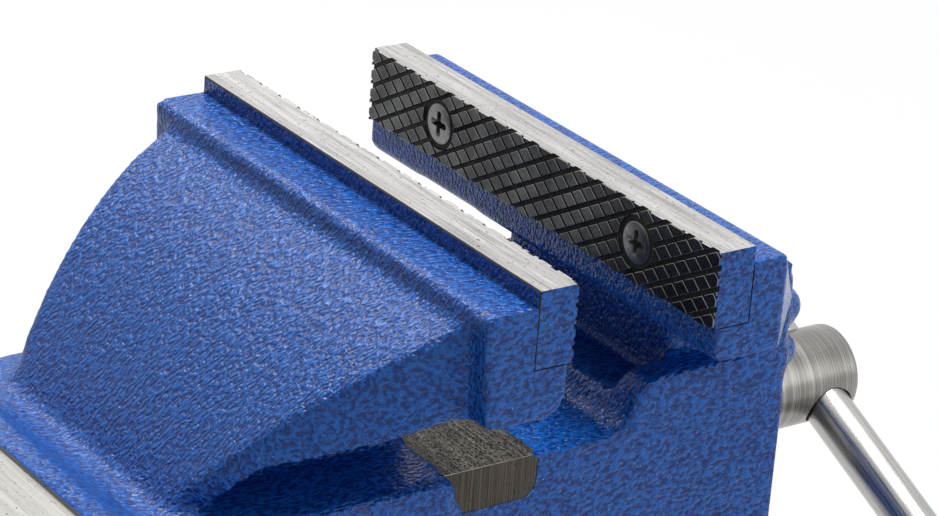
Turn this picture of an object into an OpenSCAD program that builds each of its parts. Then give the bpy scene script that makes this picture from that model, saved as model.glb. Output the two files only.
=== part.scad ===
// Swivel bench vise with 150 mm jaws, in millimetres, +Z up.
// The origin is on the bench top, on the axis that the vise swivels about.
// +X runs along the screw, from the fixed jaw towards the handle.

/* [Jaws] */
// Width of both jaws
jaw_w = 150; // [130:1:170]
// Gap between the jaw plates, as modelled
opening = 40.6; // [25:0.1:60]
// Height of the jaw plates' tops above the bench
jaw_z = 200; // [190:1:225]
// Distance of the fixed jaw plate's face ahead of the swivel axis
jaw_x = 72; // [68:1:80]
// Depth from the tops of the plates down to the slide
throat = 60; // [56:1:66]

/* [Jaw plates] */
// Thickness of a plate
plate_t = 11; // [9:0.5:13]
// Height of a plate
plate_h = 20; // [17:0.5:23]
// How far a plate stands above the casting that holds it
plate_stand = 4.2; // [2:0.1:6]
// Distance from one deep groove to the next
tooth_pitch = 4.6; // [4:0.1:8]
// Slope of the deep grooves across the plate
tooth_angle = 30; // [20:1:60]
// Distance from one fine groove to the next
cross_pitch = 4.1; // [3.5:0.1:8]
// Slope of the fine grooves, the other way
cross_angle = 38; // [20:1:60]
// Width of the deep grooves
groove_w = 1.3; // [0.8:0.1:2]
// Depth of the deep grooves
groove_depth = 0.8; // [0.3:0.1:1.5]
// Width of the fine grooves that cross them
cross_groove_w = 0.7; // [0.4:0.1:1.2]
// Depth of the fine grooves
cross_groove_depth = 0.5; // [0.2:0.1:1]
// Distance of each plate screw from the middle of the plate
plate_screw_y = 42.8; // [30:0.1:55]
// Thread diameter of a plate screw
plate_screw_d = 6; // [5:1:6]
// Head diameter of a plate screw
plate_screw_head_d = 11.3; // [10.5:0.1:12.6]
// Length of a plate screw with its head
plate_screw_l = 18; // [16:1:19]

/* [Slide] */
// Width of the slide
slide_w = 90; // [80:1:96]
// Height of the slide
slide_h = 47; // [44:1:50]
// How far the slide reaches behind the swivel axis, as modelled
slide_reach = 58; // [50:1:60]
// Width of the channel under the slide
channel_w = 44; // [40:1:54]
// Thickness of the slide above its channel
channel_roof = 9; // [6:0.5:10]

/* [Sliding jaw] */
// Width of the neck between the slide and the jaw
neck_w = 70; // [56:1:84]
// Distance from the jaw's face to the front wall's outer face
front_reach = 56; // [50:1:64]
// Thickness of the front wall that the screw runs through
front_wall = 18.6; // [14:0.1:24]
// Diameter of the boss round the screw
boss_d = 48; // [40:1:54]
// How far the boss stands out of the front wall
boss_l = 4; // [2:0.5:8]
// Diameter of the two beads across the front
bead_d = 11; // [8:0.5:12]

/* [Screw] */
// Outer diameter of the screw's thread
thread_d = 22; // [18:1:24]
// How far the screw reaches behind the swivel axis, as modelled
screw_reach = 50; // [30:1:56]
// Diameter of the screw's head
head_d = 25.4; // [25:0.1:30]
// Length of the screw's head
head_l = 44.6; // [36:0.1:56]
// Distance of the handle bar from the end of the head
bar_inset = 9.1; // [8.5:0.1:14]

/* [Handle bar] */
// Diameter of the bar
bar_d = 12.8; // [10:0.1:14]
// Length of the bar with its knobs
bar_l = 230; // [180:1:260]
// Slope of the bar below level
bar_slope = 24.5; // [0:0.5:60]
// Gap between the screw's head and the knob nearer to it
bar_gap = 5; // [1:0.5:12]
// Diameter of a knob
knob_d = 19; // [16:0.5:22]
// Length of a knob
knob_l = 15; // [10:0.5:20]

/* [Fixed body] */
// Width of the housing round the slide
housing_w = 110; // [106:1:122]
// How far the housing reaches behind the swivel axis
housing_reach = 100; // [96:1:130]
// Thickness of the housing under the slide
housing_floor = 13.7; // [10:0.1:18]
// Thickness of the housing above the slide, at the anvil
anvil_t = 9.7; // [8:0.1:14]
// Distance of the anvil's front edge behind the swivel axis
anvil_front = 37; // [34:1:44]
// Width of the painted rim in front of the anvil
anvil_rim = 8; // [6:0.5:9]
// Radius of the hood's slope, seen from the side
hood_r = 138; // [134:1:142]
// Radius of the hood's outline, seen from above
hood_plan_r = 170; // [165:1:176]
// Diameter of the round post under the housing
post_d = 74; // [66:1:78]

/* [Base] */
// Diameter of the base
base_d = 176; // [170:1:190]
// Height of the base
base_h = 34; // [30:1:40]
// Thickness of the base's deck
deck_t = 12; // [9:0.5:14]
// Diameter of the body's foot on the base
foot_d = 168; // [160:1:170]
// Thickness of the body's foot
foot_t = 14; // [10:0.5:18]
// Distance of the bench bolts from the swivel axis
lug_pcd = 204; // [200:1:220]
// Diameter of the bench bolt holes
lug_hole_d = 13; // [11:0.5:14]
// Diameter of the centre bolt
centre_bolt_d = 16; // [12:1:18]

/* [Swivel locks] */
// Distance of each lock from the swivel axis
lock_r = 70; // [68:1:72]
// How far the body swivels each way, in degrees
swivel_reach = 60; // [30:1:65]
// Diameter of a lock's stud
stud_d = 12; // [10:1:14]
// Diameter of a lock's nut
lock_nut_d = 20; // [18:1:22]
// Diameter of a lock's bar
lock_bar_d = 8; // [6:0.5:9]
// Length of a lock's bar with its knobs
lock_bar_l = 60; // [50:1:64]

/* [Clearances] */
// Gap between a shaft and the hole that carries it
run_gap = 0.05; // [0.02:0.01:0.1]
// Gap between faces that slide on each other
slide_gap = 0.3; // [0.2:0.05:0.5]
// Gap round a bolt in its hole
bolt_gap = 0.3; // [0.2:0.05:0.6]

/* [Hidden] */
$fn = 64;
over = 1;

// Faces of the jaws
move_x = jaw_x + opening;
cast_z = jaw_z - plate_stand;
seat_z = jaw_z - plate_h;
fixed_head_rise = 13.3;
moving_head_rise = 9;
fixed_head_z = seat_z - fixed_head_rise;
moving_head_z = seat_z - moving_head_rise;
face_inset = 1.2;

// Heights of the slide and the screw
slide_z = jaw_z - throat;
slide_low_z = slide_z - slide_h;
screw_z = slide_z - slide_h / 2;
channel_z = slide_z - channel_roof;

// Heights of the housing
bore_low_z = slide_low_z - slide_gap;
bore_top_z = slide_z + slide_gap;
housing_low_z = bore_low_z - housing_floor;
anvil_z = bore_top_z + anvil_t;
anvil_step = 6;
valley_z = anvil_z - anvil_step;
collar_inset = 6;
collar_lean = 8;
housing_front = jaw_x - collar_inset;
collar_top_x = housing_front - collar_lean;
foot_z = base_h + slide_gap;
foot_top_z = foot_z + foot_t;

// Places along the sliding jaw
moving_head_t = 21.1;
cheek_inset = 3;
cheek_h = 13;
neck_inset = 19.4;
front_bow = 4.3;
head_back_x = move_x + moving_head_t;
cheek_x = move_x + cheek_inset;
cheek_z = slide_z + cheek_h;
neck_x = move_x + neck_inset;
front_x = move_x + front_reach;
front_side_x = front_x - front_bow;
wall_x = front_x - front_wall;
boss_x = front_x + boss_l;

// Places along the screw
washer_t = 2;
screw_head_x = boss_x + slide_gap + washer_t;
screw_end_x = screw_head_x + head_l;
bar_x = screw_end_x - bar_inset;
keeper_t = 2.3;
collar_l = 12;
collar_gap = 0.5;
collar_d = 2 * (channel_z - screw_z - collar_gap);
collar_x = wall_x - slide_gap - keeper_t - collar_l;
pin_d = 5;
pin_inset = 1;

// Places along the handle bar, from the screw's axis towards the lower end
bar_start = -(head_d / 2 + bar_gap + knob_l);
bar_end = bar_start + bar_l;
knob_cap = 3;
knob_seat = knob_l - knob_cap;

// The lead nut and its bolt
lead_nut_inset = 8;
lead_nut_l = 28;
lead_nut_x = jaw_x - lead_nut_inset - lead_nut_l;
lead_nut_side_gap = 2;
lead_nut_w = channel_w - 2 * lead_nut_side_gap;
lead_nut_roof = 3;
lead_bolt_x = lead_nut_x + lead_nut_l * 2 / 3;
lead_bolt_d = 8;
lead_bolt_head_d = 13;
lead_bolt_head_l = 8;

// The centre bolt
hub_d = 52;
hub_pocket_d = 36;
hub_pocket_h = 14;
centre_head_w = 1.5 * centre_bolt_d;
centre_head_h = 10;
centre_floor_t = 18;
centre_floor_z = foot_z + centre_floor_t;
centre_washer_t = 3;
centre_washer_d = 1.9 * centre_bolt_d;
centre_nut_h = 0.8 * centre_bolt_d;
centre_bolt_end = 4;
post_bore_d = 34;

// The swivel locks
lock_washer_t = 2.5;
lock_nut_z = foot_top_z + lock_washer_t;
lock_nut_h = 23;
lock_nut_roof = 2.6;
stud_end_gap = 1;
lock_bar_z = lock_nut_z + lock_nut_h - lock_bar_d / 2 - lock_nut_roof;
stud_top_z = lock_bar_z - lock_bar_d / 2 - stud_end_gap;
stud_head_w = stud_d + 5;
stud_head_h = 10;
stud_gap = 1;
base_hollow_r = norm([lock_r + stud_head_w / 2, stud_head_w / 2]) + stud_gap;
slot_w = stud_d + 1;
lock_knob_d = lock_bar_d + 4;
SIDES = [1, -1];
// How deep pieces that are drawn in two lengths run into each other
bite = 0.5;

// Unit vector along v
function unit(v) = v / norm(v);

// Points of an arc of radius r that rounds the corner at p between a and b
function corner(a, p, b, r, steps = 6) =
    r == 0 ? [p] :
    let (u = unit(a - p), v = unit(b - p),
         half = acos(u * v) / 2,
         c = p + unit(u + v) * r / sin(half),
         s = p + u * r / tan(half),
         e = p + v * r / tan(half),
         from = atan2(s.y - c.y, s.x - c.x),
         swing = atan2(e.y - c.y, e.x - c.x) - from,
         turn = swing > 180 ? swing - 360 : swing < -180 ? swing + 360 : swing)
    [for (i = [0:steps]) c + r * [cos(from + turn * i / steps), sin(from + turn * i / steps)]];

// Outline through [x, y, radius] corners, each rounded by its radius
function rounded(corners) =
    let (n = len(corners), at = function (i) [corners[i].x, corners[i].y])
    [for (i = [0:n - 1]) each corner(at((i + n - 1) % n), at(i), at((i + 1) % n), corners[i].z)];

// An XZ outline made solid along Y, centred
module along_y(width) {
    rotate([90, 0, 0]) linear_extrude(width, center = true) children();
}

// A YZ outline made solid along X, from x
module along_x(x, length) {
    translate([x, 0, 0]) rotate([90, 0, 90]) linear_extrude(length) children();
}

// A cylinder along +X
module rod_x(x, length, d, z = screw_z) {
    translate([x, 0, z]) rotate([0, 90, 0]) cylinder(h = length, d = d);
}

// A box given by its lowest and highest corners
module block(low, high) {
    translate(low) cube(high - low);
}

// Both places of something that stands at +Y and -Y
module both_sides(y) {
    for (side = SIDES) translate([0, side * y, 0]) children();
}

// Places something on the handle bar's axis, with +Z towards its lower end
module on_bar(along = 0) {
    translate([bar_x, 0, screw_z]) rotate([90 + bar_slope, 0, 0]) translate([0, 0, along]) children();
}

// One family of parallel grooves across a plate whose middle is at the origin
module plate_grooves(angle, pitch, width, depth) {
    reach = (jaw_w * sin(abs(angle)) + plate_h * cos(angle)) / 2;
    count = floor(reach / pitch);
    for (i = [-count:count])
        rotate([angle, 0, 0]) translate([0, 0, i * pitch])
            cube([2 * depth, 2 * jaw_w, width], center = true);
}

// A jaw plate with its toothed face at the origin, facing +X
module jaw_plate() {
    ring_w = 0.8;
    difference() {
        block([-plate_t, -jaw_w / 2, -plate_h / 2], [0, jaw_w / 2, plate_h / 2]);
        difference() {
            union() {
                plate_grooves(tooth_angle, tooth_pitch, groove_w, groove_depth);
                plate_grooves(-cross_angle, cross_pitch, cross_groove_w, cross_groove_depth);
            }
            both_sides(plate_screw_y) rotate([0, 90, 0])
                cylinder(h = 4 * groove_depth, d = plate_screw_head_d + 2 * ring_w, center = true);
        }
        both_sides(plate_screw_y) plate_screw_hole();
    }
}

// The clear hole for a plate screw, with its countersink at the origin
module plate_screw_hole() {
    sink = (plate_screw_head_d - plate_screw_d) / 2;
    rotate([0, -90, 0]) {
        translate([0, 0, -over]) cylinder(h = plate_t + 2 * over, d = plate_screw_d + bolt_gap);
        translate([0, 0, -over]) cylinder(h = over, d = plate_screw_head_d + bolt_gap);
        cylinder(h = sink, d1 = plate_screw_head_d + bolt_gap, d2 = plate_screw_d + bolt_gap);
    }
}

// A countersunk screw with its head's face at the origin, facing +X
module plate_screw() {
    sink = (plate_screw_head_d - plate_screw_d) / 2;
    recess_w = plate_screw_d / 5;
    recess_l = plate_screw_d * 0.9;
    recess_depth = plate_screw_d / 2.5;
    difference() {
        rotate([0, -90, 0]) {
            cylinder(h = sink, d1 = plate_screw_head_d, d2 = plate_screw_d);
            cylinder(h = plate_screw_l, d = plate_screw_d);
        }
        for (turn = [0, 90]) rotate([turn, 0, 0])
            cube([2 * recess_depth, recess_l, recess_w], center = true);
    }
}

// The blind holes that the plate screws go into, behind a plate
module plate_screw_holes() {
    end_gap = 1.5;
    both_sides(plate_screw_y) rotate([0, -90, 0])
        cylinder(h = plate_screw_l + end_gap, d = plate_screw_d);
}

// Places something on the fixed plate's face, and on the moving plate's face
module at_fixed_face() translate([jaw_x, 0, jaw_z - plate_h / 2]) children();
module at_moving_face() translate([move_x, 0, jaw_z - plate_h / 2]) rotate([0, 0, 180]) children();

// Cast base: round deck on a rim and a hub, four lugs, two curved slots for the locks
module swivel_base() {
    rim_taper = 2;
    rim_foot_h = 18;
    lug_r = 15;
    lug_h = 15;
    half_span = swivel_reach + 1;
    color("royalblue") difference() {
        union() {
            rotate_extrude($fn = 128)
                polygon(rounded([[0, 0, 0], [base_d / 2, 0, 0], [base_d / 2, rim_foot_h, 4],
                                 [base_d / 2 - rim_taper, base_h, 3], [0, base_h, 0]]));
            for (turn = [45:90:315]) rotate(turn) {
                block([0, -lug_r, 0], [lug_pcd / 2, lug_r, lug_h]);
                translate([lug_pcd / 2, 0, 0]) cylinder(h = lug_h, r = lug_r);
            }
        }
        translate([0, 0, -over]) difference() {
            cylinder(h = base_h - deck_t + over, r = base_hollow_r);
            cylinder(h = base_h, d = hub_d);
        }
        translate([0, 0, -over]) cylinder(h = base_h + 2 * over, d = centre_bolt_d + 2 * bolt_gap);
        translate([0, 0, -over]) cylinder(h = hub_pocket_h + over, d = hub_pocket_d);
        for (turn = [45:90:315]) rotate(turn) translate([lug_pcd / 2, 0, -over])
            cylinder(h = lug_h + 2 * over, d = lug_hole_d);
        for (side = [90, 270]) rotate(side) {
            rotate(-half_span) rotate_extrude(angle = 2 * half_span)
                translate([lock_r - slot_w / 2, base_h - deck_t - over]) square([slot_w, deck_t + 2 * over]);
            for (end = [-half_span, half_span]) rotate(end) translate([lock_r, 0, base_h - deck_t - over])
                cylinder(h = deck_t + 2 * over, d = slot_w);
        }
    }
}

// Hexagon bolt that the body swivels about, put in from under the base
module centre_bolt() {
    head_z = hub_pocket_h - centre_head_h;
    color("silver") {
        translate([0, 0, head_z]) cylinder(h = centre_head_h, d = centre_head_w / cos(30), $fn = 6);
        translate([0, 0, hub_pocket_h - bite])
            cylinder(h = centre_nut_z() + centre_nut_h + centre_bolt_end - hub_pocket_h + bite,
                     d = centre_bolt_d);
    }
}

module centre_washer() {
    color("silver") translate([0, 0, centre_floor_z + slide_gap]) difference() {
        cylinder(h = centre_washer_t, d = centre_washer_d);
        translate([0, 0, -over]) cylinder(h = centre_washer_t + 2 * over, d = centre_bolt_d + bolt_gap);
    }
}

// Underside of the centre nut
function centre_nut_z() = centre_floor_z + slide_gap + centre_washer_t;

module centre_nut() {
    color("silver") translate([0, 0, centre_nut_z()]) difference() {
        cylinder(h = centre_nut_h, d = centre_head_w / cos(30), $fn = 6);
        translate([0, 0, -over]) cylinder(h = centre_nut_h + 2 * over, d = centre_bolt_d);
    }
}

// Sloping hood behind the fixed jaw: the side arc crossed with the arc seen from above
module hood() {
    // Where the side arc starts, and its slope there
    start_x = jaw_x - 29;
    start_z = jaw_z - 10.4;
    slope = 24;
    // Half-width there, and how far the outline turns in there
    half_w = jaw_w / 2 - 7.7;
    sweep = 17;
    // The tail, and the bend in the wings' lower edge
    tail_x = jaw_x - 88;
    tail_low_z = valley_z - 8;
    wing_bend_x = jaw_x - 66.5;
    wing_bend_z = jaw_z - 43.5;
    wall_inset = 6;
    head_x = collar_top_x + 2;
    side_c = [start_x + hood_r * sin(slope), start_z - hood_r * cos(slope)];
    plan_c = [start_x + hood_plan_r * sin(sweep), half_w - hood_plan_r * cos(sweep)];
    intersection() {
        along_y(2 * jaw_w) intersection() {
            hood_side(side_c, hood_r, tail_x);
            polygon([[tail_x, tail_low_z], [wing_bend_x, wing_bend_z], [start_x, fixed_head_z],
                     [head_x, fixed_head_z], [head_x, jaw_z], [tail_x, jaw_z]]);
        }
        translate([0, 0, housing_low_z]) linear_extrude(jaw_z) hood_plan(plan_c, tail_x - over, half_w);
    }
    // Under the hood stands a web, which widens to the hood's full width at its tail
    intersection() {
        along_y(2 * jaw_w) hood_side(side_c, hood_r - wall_inset, tail_x);
        translate([0, 0, tail_low_z]) linear_extrude(jaw_z) intersection() {
            hood_plan(plan_c - [0, wall_inset], tail_x - over, half_w - wall_inset);
            web_plan(tail_x - over, half_w);
        }
    }
}

// Outline of the web under the hood from above, wide at the tail
module web_plan(tail_x, half_w) {
    wall_end_x = jaw_x - 74;
    web_half = 30;
    bend_r = 8;
    polygon(rounded([[tail_x, -half_w, 0], [wall_end_x, -half_w, bend_r], [wall_end_x, -web_half, bend_r],
                     [collar_top_x, -web_half, 0], [collar_top_x, web_half, 0],
                     [wall_end_x, web_half, bend_r], [wall_end_x, half_w, bend_r], [tail_x, half_w, 0]]));
}

// Side view of the hood: what lies under its arc, between its tail and the jaw head
module hood_side(centre, r, tail_x) {
    intersection() {
        translate(centre) circle(r = r, $fn = 256);
        translate([tail_x, housing_low_z]) square([collar_top_x - tail_x, jaw_z - housing_low_z]);
    }
}

// Outline of the hood from above, between its tail and the jaw head
module hood_plan(centre, tail_x, half_w) {
    intersection() {
        translate([centre.x, centre.y]) circle(r = hood_plan_r, $fn = 256);
        translate([centre.x, -centre.y]) circle(r = hood_plan_r, $fn = 256);
        translate([tail_x, -half_w]) square([collar_top_x + 2 - tail_x, 2 * half_w]);
    }
}

// Housing that the slide runs through, with the anvil on top at the back
module housing() {
    low_r = 8;
    plan_r = 10;
    anvil_slope = 8;
    rim_x = anvil_rim - anvil_front;
    collar_bend_z = screw_z + 8;
    side = rounded([[-housing_reach, housing_low_z, low_r], [housing_front, housing_low_z, low_r],
                    [housing_front, collar_bend_z, low_r], [collar_top_x, bore_top_z - 2, 3],
                    [collar_top_x, valley_z, 3], [rim_x + anvil_slope, valley_z, 5],
                    [rim_x, anvil_z, 3], [-housing_reach, anvil_z, 1]]);
    plan = rounded([[-housing_reach, -housing_w / 2, plan_r], [housing_front, -housing_w / 2, plan_r],
                    [housing_front, housing_w / 2, plan_r], [-housing_reach, housing_w / 2, plan_r]]);
    intersection() {
        along_y(jaw_w) polygon(side);
        translate([0, 0, housing_low_z]) linear_extrude(jaw_z) polygon(plan);
    }
}

// Round foot that turns on the base
module swivel_foot() {
    color("royalblue") difference() {
        rotate_extrude($fn = 128)
            polygon(rounded([[0, foot_z, 0], [foot_d / 2, foot_z, 0], [foot_d / 2, foot_top_z, 3],
                             [0, foot_top_z, 0]]));
        foot_bore();
        both_sides(lock_r) translate([0, 0, foot_z - over])
            cylinder(h = foot_t + 2 * over, d = stud_d + 2 * bolt_gap);
    }
}

// Hollow post between the foot and the housing, wider at both ends
module swivel_post() {
    foot_flare = 7;
    housing_flare = 4;
    post_r = post_d / 2;
    color("royalblue") difference() {
        rotate_extrude($fn = 128)
            polygon(rounded([[0, foot_top_z, 0], [post_r + foot_flare, foot_top_z, 0],
                             [post_r, foot_top_z + foot_flare, 9], [post_r, housing_low_z - housing_flare, 0],
                             [post_r + housing_flare, housing_low_z, 0], [0, housing_low_z, 0]]));
        foot_bore();
    }
}

// Hole for the centre bolt, and the wide bore above it for a spanner
module foot_bore() {
    translate([0, 0, foot_z - over])
        cylinder(h = centre_floor_t + 2 * over, d = centre_bolt_d + 2 * bolt_gap);
    translate([0, 0, centre_floor_z])
        cylinder(h = housing_low_z - centre_floor_z + over, d = post_bore_d);
}

// Fixed jaw casting: jaw head, hood, housing and anvil
module fixed_body() {
    head_low_x = jaw_x - 23.5;
    head_top_x = jaw_x - 25.5;
    color("royalblue") difference() {
        union() {
            along_y(jaw_w)
                polygon(rounded([[head_low_x, fixed_head_z, 3], [jaw_x - face_inset, fixed_head_z, 6.5],
                                 [jaw_x - face_inset, cast_z, 0], [head_top_x, cast_z, 2.5]]));
            hood();
            housing();
        }
        block([jaw_x - plate_t, -jaw_w, seat_z], [jaw_x + over, jaw_w, jaw_z]);
        at_fixed_face() plate_screw_holes();
        block([-housing_reach - over, -slide_w / 2 - slide_gap, bore_low_z],
              [jaw_x, slide_w / 2 + slide_gap, bore_top_z]);
        translate([0, 0, housing_low_z - over]) cylinder(h = housing_floor + 2 * over, d = post_bore_d);
        translate([lead_bolt_x, 0, housing_low_z - over]) {
            cylinder(h = housing_floor + 2 * over, d = lead_bolt_d + 2 * bolt_gap);
            cylinder(h = lead_bolt_head_l + over, d = lead_bolt_head_d + 2 * bolt_gap);
        }
    }
}

module fixed_jaw_plate() {
    color("dimgray") at_fixed_face() jaw_plate();
}

module moving_jaw_plate() {
    color("dimgray") at_moving_face() jaw_plate();
}

module fixed_plate_screws() {
    color("silver") at_fixed_face() both_sides(plate_screw_y) plate_screw();
}

module moving_plate_screws() {
    color("silver") at_moving_face() both_sides(plate_screw_y) plate_screw();
}

// Side view of the slide with the cheeks that carry the jaw
module slide_and_cheeks() {
    along_y(slide_w)
        polygon(rounded([[-slide_reach, slide_low_z, 1.5], [front_side_x, slide_low_z, 6],
                         [front_side_x, cheek_z, 0], [cheek_x, cheek_z, 7],
                         [cheek_x, slide_z, 7], [-slide_reach, slide_z, 1.5]]));
}

// Neck between the cheeks and the jaw, flared under the jaw
module jaw_neck() {
    flare = 10;
    half = neck_w / 2;
    wide = half + flare;
    top_z = moving_head_z + 6;
    along_x(neck_x, front_side_x - neck_x - 2)
        polygon(rounded([[-half, slide_z, 0], [half, slide_z, 0], [half, moving_head_z, flare - bite],
                         [wide, moving_head_z, 0], [wide, top_z, 0], [-wide, top_z, 0],
                         [-wide, moving_head_z, 0], [-half, moving_head_z, flare - bite]]));
}

// Sloping front of the jaw, which widens from the screw up to the jaw's ends
module jaw_front() {
    shoulder_x = head_back_x + 14.9;
    shoulder_y = jaw_w / 2 - 15;
    side_y = slide_w / 2;
    start_x = move_x + plate_t + 4;
    edge_x = head_back_x - 2;
    // Drops below the plates' tops where the slope bends towards the front wall
    bend_drop = 26;
    toe_drop = 30.5;
    end_drop = 33;
    difference() {
        translate([0, 0, moving_head_z]) linear_extrude(cast_z - moving_head_z)
            polygon(rounded([[start_x, -jaw_w / 2, 0], [head_back_x, -jaw_w / 2, 2],
                             [shoulder_x, -shoulder_y, 6], [front_side_x, -side_y, 3],
                             [front_x, -side_y / 3, 20], [front_x, side_y / 3, 20],
                             [front_side_x, side_y, 3], [shoulder_x, shoulder_y, 6],
                             [head_back_x, jaw_w / 2, 2], [start_x, jaw_w / 2, 0]]));
        // The slope is what is left below this outline
        along_y(2 * jaw_w)
            polygon([[edge_x, cast_z + over], [edge_x, cast_z], [head_back_x, cast_z - 1.2],
                     [front_side_x - 10, jaw_z - bend_drop], [front_side_x - 3, jaw_z - toe_drop],
                     [front_x + over, jaw_z - end_drop], [front_x + over, cast_z + over]]);
    }
    // Bowed front wall below the jaw, down to the bottom of the slide
    translate([0, 0, slide_low_z]) linear_extrude(moving_head_z - slide_low_z + 2)
        polygon(rounded([[wall_x, -side_y, 0], [front_side_x, -side_y, 3], [front_x, -side_y / 3, 20],
                         [front_x, side_y / 3, 20], [front_side_x, side_y, 3], [wall_x, side_y, 0]]));
}

// Two rounded beads across the front of the jaw
module front_beads() {
    bead_l = slide_w - 14;
    upper_drop = 38.5;
    lower_drop = 50.5;
    stand = 1.2;
    for (drop = [upper_drop, lower_drop])
        translate([front_side_x + stand, 0, jaw_z - drop]) {
            rotate([90, 0, 0]) cylinder(h = bead_l, d = bead_d, center = true);
            both_sides(bead_l / 2) sphere(d = bead_d);
        }
}

// Moving jaw and slide in one casting
module sliding_jaw() {
    hollow_step = 6;
    color("royalblue") difference() {
        union() {
            slide_and_cheeks();
            jaw_neck();
            jaw_front();
            front_beads();
            along_y(jaw_w)
                polygon(rounded([[move_x + face_inset, moving_head_z, 3], [head_back_x, moving_head_z, 5],
                                 [head_back_x, cast_z, 0], [move_x + face_inset, cast_z, 0]]));
            rod_x(wall_x, boss_x - wall_x, boss_d);
        }
        block([move_x - over, -jaw_w, seat_z], [move_x + plate_t, jaw_w, jaw_z]);
        at_moving_face() plate_screw_holes();
        // The cheeks are hollowed out between the slide and the neck
        block([cheek_x - over, -neck_w / 2, slide_z + hollow_step],
              [neck_x, neck_w / 2, moving_head_z - bite]);
        block([-slide_reach - over, -channel_w / 2, slide_low_z - over],
              [wall_x, channel_w / 2, channel_z]);
        rod_x(wall_x - over, boss_x - wall_x + 2 * over, thread_d + 2 * run_gap);
    }
}

// Threaded block on the housing's floor, inside the slide's channel
module lead_nut() {
    top_z = screw_z + thread_d / 2 + lead_nut_roof;
    color("goldenrod") difference() {
        block([lead_nut_x, -lead_nut_w / 2, bore_low_z], [lead_nut_x + lead_nut_l, lead_nut_w / 2, top_z]);
        rod_x(lead_nut_x - over, lead_nut_l + 2 * over, thread_d + 2 * run_gap);
        translate([lead_bolt_x, 0, bore_low_z - over])
            cylinder(h = lead_bolt_depth() + over, d = lead_bolt_d);
    }
}

// Depth of the bolt's hole in the nut, up to just under the screw
function lead_bolt_depth() = screw_z - thread_d / 2 - bore_low_z - 2;

module lead_nut_bolt() {
    head_top = housing_low_z + lead_bolt_head_l;
    key_w = 6;
    key_depth = 4;
    color("dimgray") translate([lead_bolt_x, 0, 0]) difference() {
        union() {
            translate([0, 0, housing_low_z]) cylinder(h = lead_bolt_head_l, d = lead_bolt_head_d);
            translate([0, 0, head_top - bite])
                cylinder(h = bore_low_z + lead_bolt_depth() - head_top, d = lead_bolt_d);
        }
        translate([0, 0, housing_low_z - over]) cylinder(h = key_depth + over, d = key_w / cos(30), $fn = 6);
    }
}

// Screw with its round head, drilled across for the handle bar
module spindle() {
    edge = 1.5;
    color("silver") difference() {
        union() {
            rod_x(-screw_reach, screw_head_x + screw_reach + over, thread_d);
            translate([screw_head_x, 0, screw_z]) rotate([0, 90, 0]) {
                cylinder(h = head_l - edge, d = head_d);
                translate([0, 0, head_l - edge]) cylinder(h = edge, d1 = head_d, d2 = head_d - 2 * edge);
            }
        }
        on_bar(-head_d) cylinder(h = 2 * head_d, d = bar_d + 4 * run_gap);
        translate([collar_x + collar_l / 2, 0, screw_z]) cylinder(h = collar_d, d = pin_d, center = true);
    }
}

module thrust_washer() {
    rim = 6;
    color("silver") difference() {
        rod_x(boss_x + slide_gap, washer_t, head_d + 2 * rim);
        rod_x(boss_x, washer_t + over, thread_d + bolt_gap);
    }
}

module keeper_washer() {
    color("silver") difference() {
        rod_x(wall_x - slide_gap - keeper_t, keeper_t, collar_d);
        rod_x(wall_x - slide_gap - keeper_t - over, keeper_t + 2 * over, thread_d + bolt_gap);
    }
}

module keeper_collar() {
    color("dimgray") difference() {
        rod_x(collar_x, collar_l, collar_d);
        rod_x(collar_x - over, collar_l + 2 * over, thread_d);
        translate([collar_x + collar_l / 2, 0, screw_z]) cylinder(h = 2 * collar_d, d = pin_d, center = true);
    }
}

module keeper_pin() {
    color("silver") translate([collar_x + collar_l / 2, 0, screw_z])
        cylinder(h = collar_d - 2 * pin_inset, d = pin_d, center = true);
}

module handle_bar() {
    color("silver") on_bar(bar_start + knob_l - knob_seat)
        cylinder(h = bar_l - 2 * (knob_l - knob_seat), d = bar_d);
}

// Turned knob pressed on the bar: a drum with rounded ends
module knob() {
    round_r = 4;
    rotate_extrude() difference() {
        polygon(rounded([[0, 0, 0], [knob_d / 2, 0, round_r], [knob_d / 2, knob_l, round_r / 2],
                         [0, knob_l, 0]]));
        translate([0, knob_l - knob_seat]) square([bar_d / 2, knob_l]);
    }
}

module handle_knob_far() {
    color("silver") on_bar(bar_start) knob();
}

module handle_knob_near() {
    color("silver") on_bar(bar_end) mirror([0, 0, 1]) knob();
}

// Square-headed studs that run in the base's curved slots and clamp the foot down
module lock_studs() {
    head_z = base_h - deck_t - slide_gap - stud_head_h;
    color("silver") both_sides(lock_r) {
        translate([-stud_head_w / 2, -stud_head_w / 2, head_z]) cube([stud_head_w, stud_head_w, stud_head_h]);
        translate([0, 0, head_z + stud_head_h - bite])
            cylinder(h = stud_top_z - head_z - stud_head_h + bite, d = stud_d);
    }
}

module lock_washers() {
    color("silver") both_sides(lock_r) translate([0, 0, foot_top_z]) difference() {
        cylinder(h = lock_washer_t - slide_gap, d = lock_nut_d + 4);
        translate([0, 0, -over]) cylinder(h = lock_washer_t + over, d = stud_d + bolt_gap);
    }
}

// Round nut of a swivel lock, drilled across for its bar
module lock_nut() {
    color("silver") translate([0, 0, lock_nut_z]) difference() {
        rotate_extrude() polygon(rounded([[0, 0, 0], [lock_nut_d / 2, 0, 0], [lock_nut_d / 2, lock_nut_h, 2],
                                          [0, lock_nut_h, 0]]));
        translate([0, 0, -over])
            cylinder(h = stud_top_z - lock_nut_z + over + stud_end_gap / 2, d = stud_d + 2 * run_gap);
        translate([0, 0, lock_bar_z - lock_nut_z]) rotate([0, 90, 0])
            cylinder(h = 2 * lock_nut_d, d = lock_bar_d + 4 * run_gap, center = true);
    }
}

module lock_bar() {
    color("silver") translate([0, 0, lock_bar_z]) rotate([0, 90, 0])
        cylinder(h = lock_bar_l - lock_knob_d, d = lock_bar_d, center = true);
}

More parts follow.
